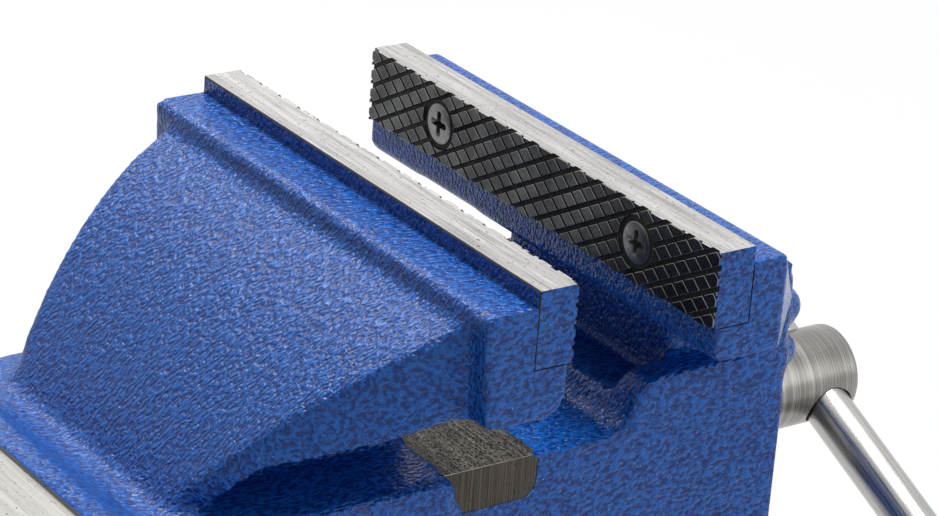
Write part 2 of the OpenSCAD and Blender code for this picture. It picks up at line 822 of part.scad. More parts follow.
// Turned knobs on both ends of a lock's bar, rounded like balls
module lock_knobs() {
    reach = (lock_bar_l - lock_knob_d) / 2;
    half = lock_knob_d / 2;
    color("silver") for (side = SIDES)
        translate([side * reach, 0, lock_bar_z]) rotate([0, side * 90, 0]) rotate_extrude()
            difference() {
                polygon(rounded([[0, -half, 0], [half, -half, 0.6 * half], [half, half, 0.9 * half],
                                 [0, half, 0]]));
                translate([0, -half]) square([lock_bar_d / 2, half]);
            }
}

module at_left_lock() translate([0, lock_r, 0]) children();
module at_right_lock() translate([0, -lock_r, 0]) children();

module lock_nut_left() at_left_lock() lock_nut();
module lock_nut_right() at_right_lock() lock_nut();
module lock_bar_left() at_left_lock() lock_bar();
module lock_bar_right() at_right_lock() lock_bar();
module lock_knobs_left() at_left_lock() lock_knobs();
module lock_knobs_right() at_right_lock() lock_knobs();

swivel_base();
centre_bolt();
centre_washer();
centre_nut();
fixed_body();
swivel_foot();
swivel_post();
fixed_jaw_plate();
fixed_plate_screws();
sliding_jaw();
moving_jaw_plate();
moving_plate_screws();
lead_nut();
lead_nut_bolt();
spindle();
thrust_washer();
keeper_washer();
keeper_collar();
keeper_pin();
handle_bar();
handle_knob_near();
handle_knob_far();
lock_studs();
lock_washers();
lock_nut_left();
lock_nut_right();
lock_bar_left();
lock_bar_right();
lock_knobs_left();
lock_knobs_right();
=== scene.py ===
import math

import bmesh
import bpy
from mathutils import Matrix, Vector
from mathutils.bvhtree import BVHTree


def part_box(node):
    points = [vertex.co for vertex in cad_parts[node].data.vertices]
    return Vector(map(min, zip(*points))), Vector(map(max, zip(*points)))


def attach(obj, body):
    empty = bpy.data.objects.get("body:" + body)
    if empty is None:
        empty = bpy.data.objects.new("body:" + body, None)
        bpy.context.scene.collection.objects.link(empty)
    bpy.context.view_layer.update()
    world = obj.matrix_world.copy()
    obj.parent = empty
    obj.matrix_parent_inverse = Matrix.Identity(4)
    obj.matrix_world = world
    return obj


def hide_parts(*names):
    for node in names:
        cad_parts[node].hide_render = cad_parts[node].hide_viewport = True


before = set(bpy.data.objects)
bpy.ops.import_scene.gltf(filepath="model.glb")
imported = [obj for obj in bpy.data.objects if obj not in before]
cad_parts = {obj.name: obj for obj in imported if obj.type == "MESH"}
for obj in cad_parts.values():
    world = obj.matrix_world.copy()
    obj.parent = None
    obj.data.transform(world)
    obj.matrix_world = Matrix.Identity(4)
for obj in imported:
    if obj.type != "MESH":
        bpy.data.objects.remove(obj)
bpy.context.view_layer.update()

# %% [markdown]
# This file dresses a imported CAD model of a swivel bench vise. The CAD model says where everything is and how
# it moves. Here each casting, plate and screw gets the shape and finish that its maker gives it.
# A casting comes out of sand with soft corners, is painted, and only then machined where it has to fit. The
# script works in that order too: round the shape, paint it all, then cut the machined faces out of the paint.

MM = 0.001

# %% [markdown]
# Every size below is read from the CAD nodes, so that a change in the CAD model is followed here. A node's
# box gives its outer faces. A ray gives the inner ones, as a caliper would: it starts in the open and reports
# where it meets the metal.

# %% Sizes from the frame


def copy_of_node(node):
    """A closed copy of a CAD node's mesh, whose loose triangles are merged."""
    bm = bmesh.new()
    bm.from_mesh(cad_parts[node].data)
    bmesh.ops.remove_doubles(bm, verts=bm.verts, dist=0.000002)
    bmesh.ops.recalc_face_normals(bm, faces=bm.faces)
    return bm


def met(node, start, way):
    """The place where a ray from start along way meets a CAD node."""
    bm = copy_of_node(node)
    place = BVHTree.FromBMesh(bm).ray_cast(Vector(start), Vector(way))[0]
    bm.free()
    return place


def middle_of(node):
    """The middle of a CAD node's box."""
    low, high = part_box(node)
    return (low + high) / 2


plate_low, plate_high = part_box("fixed_jaw_plate")
moving_low, moving_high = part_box("moving_jaw_plate")
slide_low, slide_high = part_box("sliding_jaw")
body_low, body_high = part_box("fixed_body")
screw_low, screw_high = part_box("spindle")
thrust_low, thrust_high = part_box("thrust_washer")
collar_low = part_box("keeper_collar")[0]
studs_low, studs_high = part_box("lock_studs")
heads_low, heads_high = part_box("fixed_plate_screws")
bar_low, bar_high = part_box("handle_bar")
foot_low, foot_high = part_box("swivel_foot")
post_low, post_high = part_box("swivel_post")

jaw_half = plate_high.y
jaw_top = plate_high.z
seat_z = plate_low.z
screw_z = (thrust_low.z + thrust_high.z) / 2
head_r = (screw_high.z - screw_low.z) / 2
bar_r = (bar_high.x - bar_low.x) / 2
bar_way = (middle_of("handle_knob_near") - middle_of("handle_knob_far")).normalized()
head_out_r = (heads_high.z - heads_low.z) / 2
screw_y = heads_high.y - head_out_r
slide_top = met("sliding_jaw", (-50 * MM, 0, 1), (0, 0, -1)).z
slide_half = met("sliding_jaw", (-50 * MM, 1, screw_z), (0, -1, 0)).y
channel_z = met("sliding_jaw", (-50 * MM, 0, slide_low.z - 1 * MM), (0, 0, 1)).z
channel_half = met("sliding_jaw", (-50 * MM, 0, channel_z - 5 * MM), (0, 1, 0)).y
front_wall_x = met("sliding_jaw", (slide_low.x + 1 * MM, 15 * MM, screw_z), (1, 0, 0)).x
anvil_z = met("fixed_body", (-80 * MM, 0, 1), (0, 0, -1)).z
post_r = -met("swivel_post", (0, -1, (post_low.z + post_high.z) / 2), (0, 1, 0)).y
screw_r = screw_z - met("spindle", (-20 * MM, 0, 0), (0, 0, 1)).z
# The slide runs in its bore with this much room on every side
RUN = 0.3 * MM
# The front wall's boss stops this much before the thrust washer
THRUST_GAP = 0.3 * MM
boss_x = thrust_low.x - THRUST_GAP

for label, size in (("slide top", slide_top), ("slide half", slide_half), ("channel top", channel_z),
                    ("channel half", channel_half), ("front wall", front_wall_x), ("anvil", anvil_z),
                    ("post radius", post_r), ("screw radius", screw_r), ("screw head radius", head_r)):
    print(label, round(size / MM, 2), "mm")

# %% [markdown]
# A material is a small graph of nodes. The helper below keeps the graph readable: each call adds one node,
# and an input may be a number or another node's output. Values that are the same all over the surface are
# set on the shader's own sockets, because the export only keeps them there. Every pattern reads Object
# coordinates in metres, so that its grain has a real size and stays on the piece when it moves.

# %% A helper that builds materials


class Finish:
    """A procedural material on a Principled shader."""

    def __init__(self, name, **fixed):
        self.material = bpy.data.materials.new(name)
        self.material.use_nodes = True
        self.nodes = self.material.node_tree.nodes
        self.links = self.material.node_tree.links
        self.shader = self.nodes["Principled BSDF"]
        for socket, value in fixed.items():
            self.shader.inputs[socket.replace("_", " ")].default_value = value
        self.place = self.nodes.new("ShaderNodeTexCoord").outputs["Object"]

    def feed(self, socket, value):
        """Gives an input a number, a colour or another node's output."""
        if isinstance(value, bpy.types.NodeSocket):
            self.links.new(value, socket)
        else:
            socket.default_value = value

    def drive(self, socket, value):
        """Feeds one of the shader's own inputs."""
        self.feed(self.shader.inputs[socket], value)

    def lay(self, longer, turn=(0, 0, 0)):
        """The object's coordinates turned by turn, with a pattern that is longer along each axis."""
        node = self.nodes.new("ShaderNodeMapping")
        node.vector_type = "TEXTURE"
        node.inputs["Rotation"].default_value = turn
        node.inputs["Scale"].default_value = longer
        self.links.new(self.place, node.inputs["Vector"])
        return node.outputs["Vector"]

    def noise(self, scale, detail=2.0, rough=0.5, twist=0.0, place=None):
        """Soft noise from 0 to 1."""
        node = self.nodes.new("ShaderNodeTexNoise")
        self.links.new(place or self.place, node.inputs["Vector"])
        node.inputs["Scale"].default_value = scale
        node.inputs["Detail"].default_value = detail
        node.inputs["Roughness"].default_value = rough
        node.inputs["Distortion"].default_value = twist
        return node.outputs["Fac"]

    def ramp(self, value, low, high, to=(0.0, 1.0)):
        """Maps low..high smoothly onto to, and clamps outside."""
        node = self.nodes.new("ShaderNodeMapRange")
        node.interpolation_type = "SMOOTHSTEP"
        self.feed(node.inputs["Value"], value)
        node.inputs["From Min"].default_value = low
        node.inputs["From Max"].default_value = high
        node.inputs["To Min"].default_value = to[0]
        node.inputs["To Max"].default_value = to[1]
        return node.outputs["Result"]

    def mix(self, share, first, second):
        """A colour between first and second."""
        node = self.nodes.new("ShaderNodeMix")
        node.data_type = "RGBA"
        # A Mix node has sockets of every type under the same names, so the colour ones are told by number
        first_colour, second_colour, mixed = node.inputs[6], node.inputs[7], node.outputs[2]
        self.feed(node.inputs["Factor"], share)
        for socket, value in ((first_colour, first), (second_colour, second)):
            self.feed(socket, (*value, 1) if isinstance(value, tuple) else value)
        return mixed

    def sum(self, operation, first, second=0.0):
        """One arithmetic step."""
        node = self.nodes.new("ShaderNodeMath")
        node.operation = operation
        self.feed(node.inputs[0], first)
        self.feed(node.inputs[1], second)
        return node.outputs[0]

    def blend(self, first, second, share):
        """Two heights in one, share of them the second."""
        return self.sum("ADD", self.sum("MULTIPLY", first, 1 - share), self.sum("MULTIPLY", second, share))

    def bump(self, height, depth, strength=1.0):
        """A bump of a real depth in metres."""
        node = self.nodes.new("ShaderNodeBump")
        node.inputs["Strength"].default_value = strength
        node.inputs["Distance"].default_value = depth
        self.feed(node.inputs["Height"], height)
        self.links.new(node.outputs["Normal"], self.shader.inputs["Normal"])


def shade(colour, share):
    """A colour made darker."""
    return tuple(share * part for part in colour)


# %% [markdown]
# The castings carry a glossy blue enamel that has shrunk into fine wrinkles, like leather: each is a little
# under a millimetre across, and twice as long along the vise as across it. A stretched noise makes crests
# that wander and fork. The same noise also sets how light the blue is: the crests are painted paler, as
# painted sheen, and the valleys darker, as painted shade. Here and there a pale point is painted in as a
# glint. A low specular level keeps the white room's reflection from washing the blue out.

# %% Blue wrinkle enamel


def wrinkle_enamel():
    paint = Finish("wrinkle_enamel", Metallic=0.0, IOR=1.5, Specular_IOR_Level=0.26)
    skin = paint.lay((2.1, 1.0, 1.35))
    wrinkles = paint.noise(1150, detail=1.0, rough=0.5, twist=0.35, place=skin)
    crests = paint.ramp(wrinkles, 0.22, 0.78)
    pimples = paint.noise(2600, detail=1)
    paint.bump(paint.blend(crests, pimples, 0.08), 0.00038)
    # Painted sheen on the crests and painted shade in the valleys
    colour = paint.mix(paint.ramp(wrinkles, 0.32, 0.68), (0.0007, 0.035, 0.205), (0.005, 0.12, 0.515))
    # Pale points here and there: painted glints of light on the wrinkles
    painted_glints = paint.ramp(paint.noise(2300, detail=0), 0.82, 0.86, (0.0, 0.5))
    colour = paint.mix(painted_glints, colour, (0.45, 0.55, 0.85))
    paint.drive("Base Color", colour)
    paint.drive("Roughness", paint.ramp(paint.noise(160, detail=3), 0.3, 0.7, (0.16, 0.25)))
    return paint.material


ENAMEL = wrinkle_enamel()

# %% [markdown]
# Machined faces differ by tool. The tops of the plates are ground bright, with hair-fine scratches along
# their length. The anvil was milled. The slide was milled and then oiled, so it is brown and dark. All of
# them are one recipe: noise that is eighty times longer along the tool's path gives the scratches.

# %% Ground, milled and turned steel
# How much longer the marks are along each axis: a straight cut runs along one, a turned one round one
ALONG_X, ALONG_Y, ALONG_Z = (80, 1, 1), (1, 80, 1), (1, 1, 80)
ROUND_X, ROUND_Y, ROUND_Z = (1, 80, 80), (80, 1, 80), (80, 80, 1)


def tooled_steel(name, light, dark, path=ALONG_Y, rough=(0.3, 0.45), pits=0.0, depth=0.00002, fine=2600,
                 turn=(0, 0, 0), broad=0.35):
    """Bare metal with tool marks along one axis.

    pits is the share of small dark pores, broad that of broad streaks.
    """
    metal = Finish(name, Metallic=1.0)
    hairs = metal.noise(fine, detail=3, rough=0.6, place=metal.lay(path, turn))
    bands = metal.noise(fine / 6, detail=2, place=metal.lay(path, turn))
    marks = metal.blend(hairs, bands, broad)
    colour = metal.mix(metal.ramp(marks, 0.38, 0.62), dark, light)
    stains = metal.noise(45, detail=4, rough=0.65)
    colour = metal.mix(metal.ramp(stains, 0.5, 0.85, (0.0, 0.4)), colour, shade(dark, 0.8))
    dents = marks
    if pits:
        pore_shape = tuple(1 + 1.5 * (part > 1) for part in path)
        pores = metal.ramp(metal.noise(0.6 * fine, detail=2, rough=0.7, place=metal.lay(pore_shape, turn)),
                           0.7 - pits, 0.76 - pits)
        colour = metal.mix(pores, colour, shade(dark, 0.3))
        dents = metal.sum("SUBTRACT", marks, pores)
    metal.drive("Base Color", colour)
    metal.drive("Roughness", metal.ramp(hairs, 0.3, 0.7, rough))
    metal.bump(dents, depth, strength=0.7)
    return metal.material


# The handle bar hangs at a slope, and the marks on it are turned to follow
bar_dip = math.atan2(bar_way.z, bar_way.y)

GROUND = tooled_steel("ground_steel", (0.43, 0.42, 0.41), (0.27, 0.263, 0.254), rough=(0.4, 0.58), pits=0.08)
ANVIL = tooled_steel("milled_anvil", (0.34, 0.33, 0.317), (0.23, 0.223, 0.213), rough=(0.45, 0.62), pits=0.06,
                     depth=0.00004)
SLIDE_TOP = tooled_steel("milled_slide", (0.172, 0.16, 0.138), (0.049, 0.045, 0.038), rough=(0.36, 0.56),
                         pits=0.2, depth=0.00006, fine=4200, broad=0.1)
SLIDE_SIDE = tooled_steel("milled_slide_side", (0.105, 0.094, 0.08), (0.042, 0.037, 0.031), path=ALONG_Z,
                          rough=(0.4, 0.58), pits=0.06, depth=0.00003, fine=4200, broad=0.08)
BORED = tooled_steel("bored_iron", (0.14, 0.13, 0.12), (0.06, 0.056, 0.052), path=ALONG_X, rough=(0.4, 0.6),
                     pits=0.05)
TURNED = tooled_steel("turned_steel", (0.36, 0.35, 0.335), (0.2, 0.19, 0.18), path=ROUND_X,
                      rough=(0.24, 0.38))
TURNED_UPRIGHT = tooled_steel("turned_upright_steel", (0.36, 0.35, 0.335), (0.2, 0.19, 0.18), path=ROUND_Z,
                              rough=(0.24, 0.38))
TURNED_KNOB = tooled_steel("turned_knob_steel", (0.36, 0.35, 0.335), (0.2, 0.19, 0.18), path=ROUND_Y,
                           rough=(0.24, 0.38), turn=(bar_dip, 0, 0))
DRAWN = tooled_steel("drawn_bar_steel", (0.5, 0.487, 0.465), (0.36, 0.35, 0.337), rough=(0.24, 0.36),
                     turn=(bar_dip, 0, 0), depth=0.00001)
DRAWN_LEVEL = tooled_steel("drawn_level_steel", (0.5, 0.487, 0.465), (0.36, 0.35, 0.337), path=ALONG_X,
                           rough=(0.24, 0.36), depth=0.00001)

# %% [markdown]
# Zinc plate is even and slightly milky, the cast nut is rough and brown, and the small black screws are
# oxidised. The plates' teeth are blackened too. The grooves between them, the screws' seats and the seams
# round the plates' ends are painted near black, as painted shade. None of these has a direction, so plain
# noise at two sizes is enough.

# %% Plated, cast and blackened metal


def grainy_metal(name, light, dark, rough, grain=420, depth=0.00003, metallic=1.0):
    """Metal without tool marks: broad patches of two tones with finer grains in them."""
    metal = Finish(name, Metallic=metallic)
    coarse = metal.noise(90, detail=4, rough=0.6)
    fine = metal.noise(grain, detail=3, rough=0.6)
    colour = metal.mix(metal.ramp(coarse, 0.35, 0.7), dark, light)
    colour = metal.mix(metal.ramp(fine, 0.55, 0.75, (0.0, 0.35)), colour, shade(dark, 0.6))
    metal.drive("Base Color", colour)
    metal.drive("Roughness", metal.ramp(fine, 0.3, 0.7, rough))
    metal.bump(fine, depth, strength=0.6)
    return metal.material


ZINC = grainy_metal("zinc_plate", (0.58, 0.59, 0.6), (0.4, 0.41, 0.42), (0.28, 0.42))
OXIDE = grainy_metal("black_oxide", (0.07, 0.07, 0.075), (0.03, 0.03, 0.032), (0.35, 0.5))
SCREW_STEEL = grainy_metal("plain_screw_steel", (0.27, 0.27, 0.26), (0.17, 0.17, 0.165), (0.3, 0.44),
                           grain=900)
NUT_IRON = grainy_metal("cast_nut_iron", (0.17, 0.145, 0.11), (0.085, 0.07, 0.058), (0.5, 0.7), depth=0.00012)
TEETH = grainy_metal("blackened_teeth", (0.098, 0.1, 0.103), (0.045, 0.047, 0.048), (0.26, 0.4), grain=1500,
                     depth=0.00004)
WORN_EDGE = grainy_metal("worn_edge", (0.3, 0.3, 0.295), (0.16, 0.16, 0.155), (0.35, 0.5), metallic=0.8)
# Near black: painted shade in the teeth's grooves, the screws' seats and the seams round the plates' ends
GROOVE_SHADE = grainy_metal("painted_groove_shade", (0.008, 0.008, 0.008), (0.003, 0.003, 0.003), (0.7, 0.85), metallic=0.0)

# %% [markdown]
# Now the mesh helpers. A new piece starts as a bmesh, becomes an object whose origin stays at the frame's
# origin, and rides on its CAD body. Modifiers are worked into the mesh at once, so that the mesh holds what
# the render shows.

# %% Mesh helpers


def into_object(name, bm, *finishes):
    """A new object from a bmesh, which is freed."""
    mesh = bpy.data.meshes.new(name)
    bm.to_mesh(mesh)
    bm.free()
    piece = bpy.data.objects.new(name, mesh)
    bpy.context.scene.collection.objects.link(piece)
    for finish in finishes:
        mesh.materials.append(finish)
    return piece


def work_in(piece):
    """Applies the piece's modifiers to its mesh."""
    graph = bpy.context.evaluated_depsgraph_get()
    mesh = bpy.data.meshes.new_from_object(piece.evaluated_get(graph))
    old = piece.data
    piece.modifiers.clear()
    piece.data = mesh
    bpy.data.meshes.remove(old)
    return piece


def add_box(bm, low, high):
    """A closed box from its lowest to its highest corner."""
    low, high = Vector(low), Vector(high)
    verts = bmesh.ops.create_cube(bm, size=1)["verts"]
    bmesh.ops.scale(bm, vec=high - low, verts=verts)
    bmesh.ops.translate(bm, vec=(low + high) / 2, verts=verts)
    return verts


def box_of(low, high):
    """A bmesh that holds one closed box."""
    bm = bmesh.new()
    add_box(bm, low, high)
    return bm


def add_rod(bm, start, end, r, sides=64):
    """A closed cylinder from start to end."""
    start, end = Vector(start), Vector(end)
    way = end - start
    made = bmesh.ops.create_cone(bm, cap_ends=True, segments=sides, radius1=r, radius2=r, depth=way.length)
    turn = way.to_track_quat("Z", "Y").to_matrix()
    bmesh.ops.rotate(bm, cent=(0, 0, 0), matrix=turn, verts=made["verts"])
    bmesh.ops.translate(bm, vec=(start + end) / 2, verts=made["verts"])


def add_turned(bm, outline, origin, way, sides=96):
    """Spins an outline of (along, radius) points about an axis; its ends lie on the axis."""
    origin, way = Vector(origin), Vector(way).normalized()
    across = way.orthogonal().normalized()
    verts = [bm.verts.new(origin + way * along + across * radius) for along, radius in outline]
    edges = [bm.edges.new(pair) for pair in zip(verts, verts[1:])]
    bmesh.ops.spin(bm, geom=verts + edges, cent=origin, axis=way, angle=math.tau, steps=sides, use_merge=True)
    bmesh.ops.remove_doubles(bm, verts=bm.verts, dist=0.000001)
    bmesh.ops.recalc_face_normals(bm, faces=bm.faces)


def mark_finish_borders(piece):
    """Makes each edge between two finishes a sharp one."""
    bm = bmesh.new()
    bm.from_mesh(piece.data)
    for edge in bm.edges:
        if len({face.material_index for face in edge.link_faces}) > 1:
            edge.smooth = False
    bm.to_mesh(piece.data)
    bm.free()


def settle(piece, body, slot, *nodes, crease=40):
    """Shades a finished piece and puts it on its CAD body in place of the nodes that it stands for."""
    piece.data.shade_smooth()
    piece.data.set_sharp_from_angle(angle=math.radians(crease))
    mark_finish_borders(piece)
    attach(piece, body)
    if nodes:
        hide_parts(*nodes)
    piece.data.calc_loop_triangles()
    print(piece.name, len(piece.data.loop_triangles), "triangles")
    return piece


def steep_edges(bm, angle=30):
    """The edges where two faces meet at more than an angle in degrees."""
    return [edge for edge in bm.edges
            if len(edge.link_faces) == 2 and edge.calc_face_angle() > math.radians(angle)]


def ease_edges(bm, edges, width, segments=2, material=-1, clamp=True):
    """Small rounding or chamfer on the chosen edges."""
    bmesh.ops.bevel(bm, geom=edges, offset=width, offset_type="OFFSET", segments=segments, profile=0.5,
                    affect="EDGES", material=material, clamp_overlap=clamp)


# %% [markdown]
# Casting comes first. The CAD solid is exact but hard-edged. A voxel remesh turns it into an even skin, and
# each pass of smoothing rounds its outer corners and fills its inner ones, as sand and fettling do. More
# passes on a chosen region make the broad fillets that flow from one form into the next.

# %% Casting helpers


def cast(name, bm, voxel, passes=2):
    """Sand-cast skin of closed shells: remeshed together, then softened."""
    piece = into_object(name, bm)
    skin = piece.modifiers.new("skin", "REMESH")
    skin.mode = "VOXEL"
    skin.voxel_size = voxel
    work_in(piece)
    soften(piece, passes)
    piece.data.materials.append(ENAMEL)
    return piece


def soften(piece, passes, *zones, fade=4.0):
    """Smooths the whole piece, or both sides of it inside zones that are given by two corners in mm.

    A vertex near a zone's border gets fewer passes, so that no step shows there.
    """
    bm = bmesh.new()
    bm.from_mesh(piece.data)

    def share(place):
        at = (place.x / MM, abs(place.y) / MM, place.z / MM)
        inside = max(min(min(at[i] - low[i], high[i] - at[i]) for i in range(3)) for low, high in zones)
        return min(max(inside / fade, 0), 1)

    wanted = [(vert, passes * share(vert.co) if zones else passes) for vert in bm.verts]
    for done in range(passes):
        chosen = [vert for vert, count in wanted if count > done]
        bmesh.ops.smooth_vert(bm, verts=chosen, factor=0.5, use_axis_x=True, use_axis_y=True, use_axis_z=True)
    bm.to_mesh(piece.data)
    bm.free()


def machine(piece, tool, *finishes):
    """Cuts the tool out of the piece; the cut faces get the tool's finishes."""
    cutter = into_object("cutter", tool, *finishes)
    boolean = piece.modifiers.new("cut", "BOOLEAN")
    boolean.operation = "DIFFERENCE"
    boolean.solver = "EXACT"
    boolean.material_mode = "TRANSFER"
    boolean.object = cutter
    work_in(piece)
    mesh = cutter.data
    bpy.data.objects.remove(cutter)
    bpy.data.meshes.remove(mesh)


def cast_stock(node, *boxes):
    """A CAD node's solid together with blocks of stock that will be machined off again."""
    bm = copy_of_node(node)
    for low, high in boxes:
        add_box(bm, low, high)
    return bm


# %% [markdown]
# The fixed body is the biggest casting: jaw head, sloping hood, housing and anvil. Where a face will be
# machined, the pattern maker leaves stock: the plate's seat and the slide's bore are cast full, and the
# anvil is two millimetres high. The cuts then leave crisp edges in a soft casting.

# %% Fixed body, cast
STOCK = 2 * MM
# The anvil is machined up to here, and the rim in front of it stays painted
ANVIL_EDGE = -37 * MM
housing_half = met("fixed_body", (-60 * MM, 1, screw_z), (0, -1, 0)).y
housing_front = met("fixed_body", (1, 50 * MM, screw_z), (-1, 0, 0)).x

seat_stock = ((plate_low.x - STOCK, -jaw_half, seat_z - STOCK),
              (plate_high.x - 1.2 * MM, jaw_half, body_high.z))
bore_stock = ((body_low.x + 1 * MM, -slide_half - STOCK, slide_low.z - STOCK),
              (housing_front - 9 * MM, slide_half + STOCK, slide_top + STOCK))
mouth_stock = ((housing_front - 12 * MM, -slide_half - STOCK, slide_low.z - STOCK),
               (housing_front - 1 * MM, slide_half + STOCK, screw_z + 8 * MM))
anvil_stock = ((body_low.x + 1 * MM, -housing_half + 2 * MM, anvil_z - 3 * MM),
               (ANVIL_EDGE - 1 * MM, housing_half - 2 * MM, anvil_z + STOCK))
post_stock = ((-20 * MM, -20 * MM, body_low.z), (20 * MM, 20 * MM, slide_low.z))
fixed = cast("fixed_casting",
             cast_stock("fixed_body", seat_stock, bore_stock, mouth_stock, anvil_stock, post_stock), 1.1 * MM)

# The hood's foot
soften(fixed, 16, ((-30, -9, 140), (-6, 60, 153)))
# The housing's long edges
soften(fixed, 26, ((-34, 44, 126), (62, 60, 147)), fade=6)
# The foot of the web between the hood and the housing
soften(fixed, 10, ((20, 22, 142), (62, 42, 154)))
# The hood's corners
soften(fixed, 8, ((36, 56, 160), (52, 76, 193)), fade=6)

# %% [markdown]
# Machining follows. Each cutter is a plain closed shape that reaches well past the casting, and a Boolean
# modifier takes it away. The modifier hands the cutter's material to the faces that it leaves, so bare metal
# and paint part exactly where the tool stopped.

# %% Fixed body, machined


def seat_tool(near_x, far_x):
    """Block that cuts the step in which a jaw plate sits."""
    low_x, high_x = sorted((near_x, far_x))
    return box_of((low_x, -jaw_half - 5 * MM, seat_z), (high_x, jaw_half + 5 * MM, jaw_top + 5 * MM))


SCREW_HOLE_R = 3.2 * MM
SCREW_HOLE_DEEP = 22 * MM
POST_BORE_R = 17 * MM
NUT_BOLT_HOLE_R = 4.3 * MM


def screw_holes(bm, face_x, inward):
    """Round holes behind a plate for its two screws."""
    for side in (1, -1):
        place = Vector((face_x, side * screw_y, (seat_z + jaw_top) / 2))
        add_rod(bm, place, place + Vector((inward * SCREW_HOLE_DEEP, 0, 0)), SCREW_HOLE_R, sides=32)


fixed_cut = seat_tool(plate_low.x, plate_high.x + 5 * MM)
add_box(fixed_cut, (body_low.x - 5 * MM, -slide_half - RUN, slide_low.z - RUN),
        (plate_high.x, slide_half + RUN, slide_top + RUN))
machine(fixed, fixed_cut, BORED)
machine(fixed, box_of((body_low.x - 5 * MM, -70 * MM, anvil_z - 0.3 * MM), (ANVIL_EDGE, 70 * MM, 1)), ANVIL)
fixed_holes = bmesh.new()
screw_holes(fixed_holes, plate_high.x, -1)
add_rod(fixed_holes, (0, 0, body_low.z - 5 * MM), (0, 0, screw_z), POST_BORE_R)
bolt_x = middle_of("lead_nut_bolt").x
add_rod(fixed_holes, (bolt_x, 0, body_low.z - 5 * MM), (bolt_x, 0, screw_z), NUT_BOLT_HOLE_R)
machine(fixed, fixed_holes, BORED)
settle(fixed, "vise_body", "blue_paint", "fixed_body")

# %% [markdown]
# The post and the foot are round, so they are turned instead of remeshed. The post is hollow: a spanner
# reaches the centre nut through it.

# %% Post and foot


def arc(centre, r, start, end, steps=8):
    """Points (along, radius) on an arc between two angles in degrees."""
    return [(centre[0] + r * math.sin(math.radians(start + (end - start) * i / steps)),
             centre[1] + r * math.cos(math.radians(start + (end - start) * i / steps)))
            for i in range(steps + 1)]


def post_and_foot():
    """The foot's disc, the cove above it and the hollow post, spun from one outline."""
    foot_r = foot_high.x
    thick = foot_high.z - foot_low.z
    top = post_high.z - foot_low.z
    chamfer, rim, cove = 1 * MM, 3 * MM, 8 * MM
    bore_floor = met("swivel_post", (13 * MM, 0, post_high.z + 5 * MM), (0, 0, -1)).z
    bolt_r = met("swivel_foot", (0, 0, foot_low.z + 5 * MM), (1, 0, 0)).x
    outline = [(0, 0), (0, foot_r - chamfer), (chamfer, foot_r)]
    outline += arc((thick - rim, foot_r - rim), rim, 0, 90)
    outline += arc((thick + cove, post_r + cove), cove, 270, 180)
    outline += [(top - 5 * MM, post_r)]
    outline += arc((top - 4.5 * MM, post_r + 6 * MM), 6 * MM, 180, 225, steps=5)
    outline += [(top, post_r + 3.5 * MM), (top, 0)]
    bm = bmesh.new()
    add_turned(bm, outline, (0, 0, foot_low.z), (0, 0, 1), sides=160)
    piece = into_object("foot_casting", bm, ENAMEL)
    holes = bmesh.new()
    for side in (1, -1):
        stud_y = side * (studs_high.y - (studs_high.x - studs_low.x) / 2)
        stud_r = met("swivel_foot", (0, stud_y, foot_low.z + 5 * MM), (1, 0, 0)).x
        add_rod(holes, (0, stud_y, 0), (0, stud_y, foot_high.z + 5 * MM), stud_r)
    machine(piece, holes, BORED)
    bore = bmesh.new()
    add_rod(bore, (0, 0, bore_floor), (0, 0, post_high.z + 5 * MM), POST_BORE_R)
    machine(piece, bore, BORED)
    bolt_hole = bmesh.new()
    add_rod(bolt_hole, (0, 0, 0), (0, 0, bore_floor + 5 * MM), bolt_r)
    machine(piece, bolt_hole, BORED)
    settle(piece, "vise_body", "blue_paint", "swivel_foot", "swivel_post")


post_and_foot()

# %% [markdown]
# The sliding jaw is cast the same way. Its slide gets stock on the top and along the upper part of both
# sides. The stock ends a little before the milled part does. Otherwise the softened casting would swell
# where the paint begins, and would not enter the bore when the jaws close.

# %% Sliding jaw, cast
# The milled part of the slide ends here, and reaches down to here on both sides
MILLED_TO_X = moving_low.x - 25.2 * MM
BAND_Z = slide_top - 11.5 * MM

seat_stock = ((moving_low.x + 1.2 * MM, -jaw_half, seat_z - STOCK),
              (moving_high.x + STOCK, jaw_half, slide_high.z))
channel_stock = ((slide_low.x + 1 * MM, -channel_half - STOCK, slide_low.z),
                 (front_wall_x + 1 * MM, channel_half + STOCK, channel_z + STOCK))
slide_stock = ((slide_low.x + 2 * MM, -slide_half - STOCK, BAND_Z + 3 * MM),
               (MILLED_TO_X - 3 * MM, slide_half + STOCK, slide_top + STOCK))
moving = cast("moving_casting", cast_stock("sliding_jaw", seat_stock, channel_stock, slide_stock), 1.15 * MM)

# The neck's flare
soften(moving, 10, ((110, 24, 137), (162, 54, 176)))
# The folds round the beads on the front
soften(moving, 6, ((158, -9, 138), (178, 60, 176)))

# %% [markdown]
# The mill stops short of the jaw, so the paint begins at a clean line across the slide. Its cutter is box
# shaped, but the faces that look towards the jaw carry enamel, because paint runs down to the cut. Last, a
# file breaks the slide's long edges, which leaves a thin bright line on each.

# %% Sliding jaw, machined


def slide_side_tools():
    """End mills along both sides of the slide; their radius leaves a round corner at each band's end."""
    bm = bmesh.new()
    for side in (1, -1):
        near, far = sorted((side * (slide_half - 0.08 * MM), side * (slide_half + 6 * MM)))
        verts = add_box(bm, (slide_low.x - 5 * MM, near, BAND_Z), (MILLED_TO_X, far, slide_top + 6 * MM))
        corner = [edge for edge in bm.edges if all(
            vert in verts and vert.co.x > 0 and vert.co.z < slide_top for vert in edge.verts)]
        ease_edges(bm, corner, 5 * MM, segments=8)
    return painted_end(bm)


def painted_end(bm):
    """Gives the faces that look towards the jaw the second finish, as the paint runs down to the cut."""
    bmesh.ops.recalc_face_normals(bm, faces=bm.faces)
    for face in bm.faces:
        face.material_index = int(face.normal.x > 0.3)
    return bm


